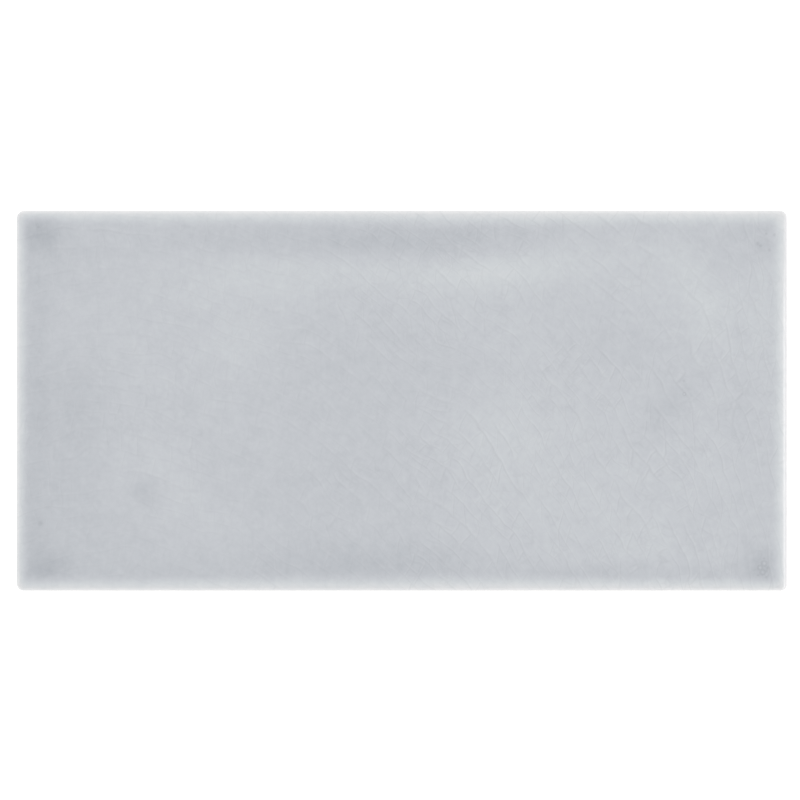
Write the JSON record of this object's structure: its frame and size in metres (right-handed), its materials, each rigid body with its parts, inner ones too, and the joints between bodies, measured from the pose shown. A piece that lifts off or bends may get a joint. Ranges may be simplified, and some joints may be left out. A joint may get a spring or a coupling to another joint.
{
  "type": "subway wall tile",
  "caption": "Rectangular pressed ceramic wall tile with a gently wavy, cushion-edged, crackle-glazed face and a ribbed keying back.",
  "frame": {"origin": "middle of the tile's back, in the plane of the keying ribs that it lies on", "axes": "+X along the tile's length, +Y across its width, +Z out of the glazed face"},
  "size_m": [0.152, 0.075, 0.0081],
  "materials": {
    "glazed_ceramic": "gloss"
  },
  "bodies": {
    "root": {"wall_tile": "glazed_ceramic"}
  },
  "joints": []
}
